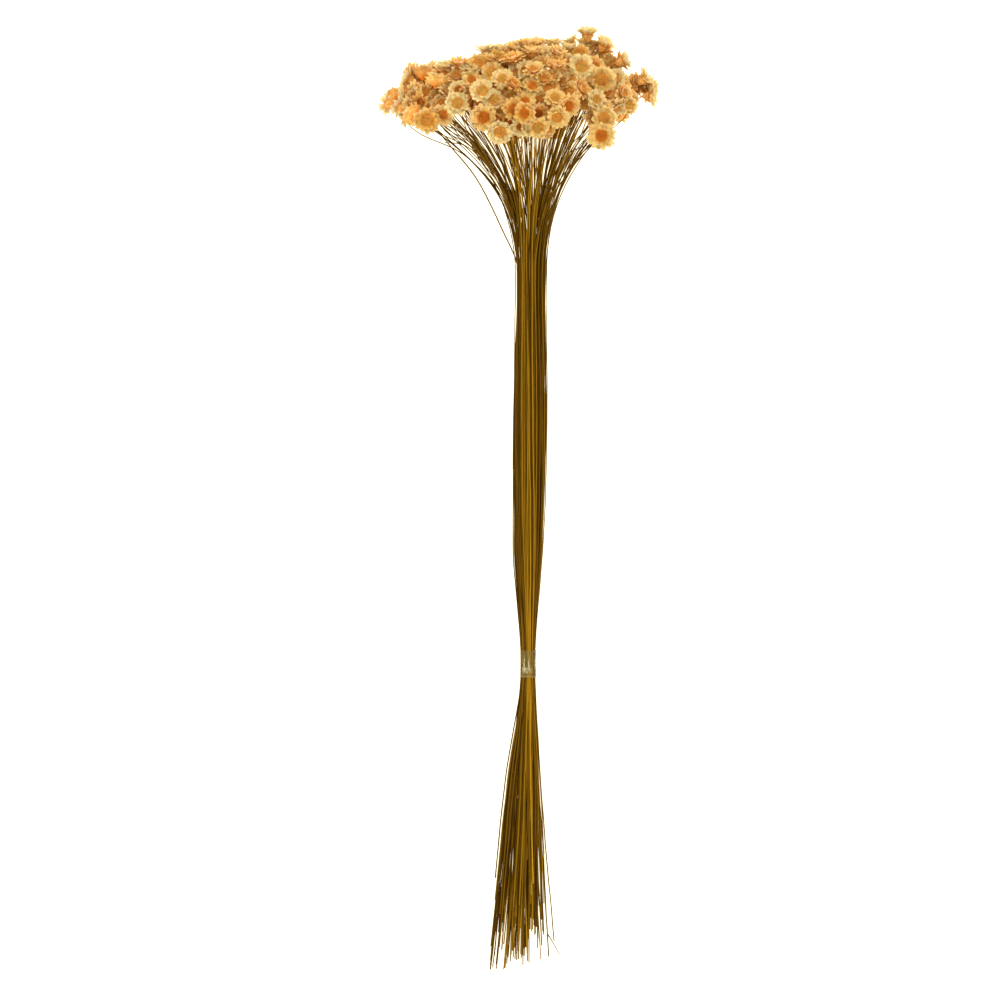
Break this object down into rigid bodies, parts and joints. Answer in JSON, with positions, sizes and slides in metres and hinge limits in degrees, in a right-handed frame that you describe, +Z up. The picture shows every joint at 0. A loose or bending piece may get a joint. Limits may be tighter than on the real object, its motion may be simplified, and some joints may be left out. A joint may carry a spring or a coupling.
{
  "type": "dried everlasting flower bunch",
  "caption": "Long narrow bunch of dried everlasting flowers with papery peach and cream heads on thin bare stalks, held by a clear tape band and lying on its side.",
  "frame": {"origin": "on the table under the middle of the bunch's bounding box", "axes": "+Y along the stalks towards the flower heads, +X across the bunch, +Z up from the table it lies on"},
  "size_m": [0.1616, 0.5504, 0.0878],
  "materials": {
    "petal": "dry, papery, matt with a faint sheen",
    "stalk": "dry, matt olive brown",
    "film": "clear glossy adhesive film"
  },
  "bodies": {
    "root": {"blooms_01": "petal", "blooms_02": "petal", "blooms_03": "petal", "blooms_04": "petal", "blooms_05": "petal", "blooms_06": "petal", "blooms_07": "petal", "blooms_08": "petal", "blooms_09": "petal", "blooms_10": "petal", "blooms_11": "petal", "blooms_12": "petal", "blooms_13": "petal", "blooms_14": "petal", "blooms_15": "petal", "blooms_16": "petal", "blooms_17": "petal", "blooms_18": "petal", "blooms_19": "petal", "blooms_20": "petal", "blooms_21": "petal", "blooms_22": "petal", "blooms_23": "petal", "blooms_24": "petal", "blooms_25": "petal", "blooms_26": "petal", "blooms_27": "petal", "blooms_28": "petal", "blooms_29": "petal", "blooms_30": "petal", "blooms_31": "petal", "blooms_32": "petal", "blooms_33": "petal", "blooms_34": "petal", "blooms_35": "petal", "blooms_36": "petal", "blooms_37": "petal", "blooms_38": "petal", "blooms_39": "petal", "blooms_40": "petal", "stalks_01": "stalk", "stalks_02": "stalk", "stalks_03": "stalk", "stalks_04": "stalk", "stalks_05": "stalk", "stalks_06": "stalk", "stalks_07": "stalk", "stalks_08": "stalk", "stalks_09": "stalk", "stalks_10": "stalk", "stalks_11": "stalk", "stalks_12": "stalk", "stalks_13": "stalk", "stalks_14": "stalk", "stalks_15": "stalk", "stalks_16": "stalk", "stalks_17": "stalk", "stalks_18": "stalk", "stalks_19": "stalk", "tie": "film"}
  },
  "joints": []
}
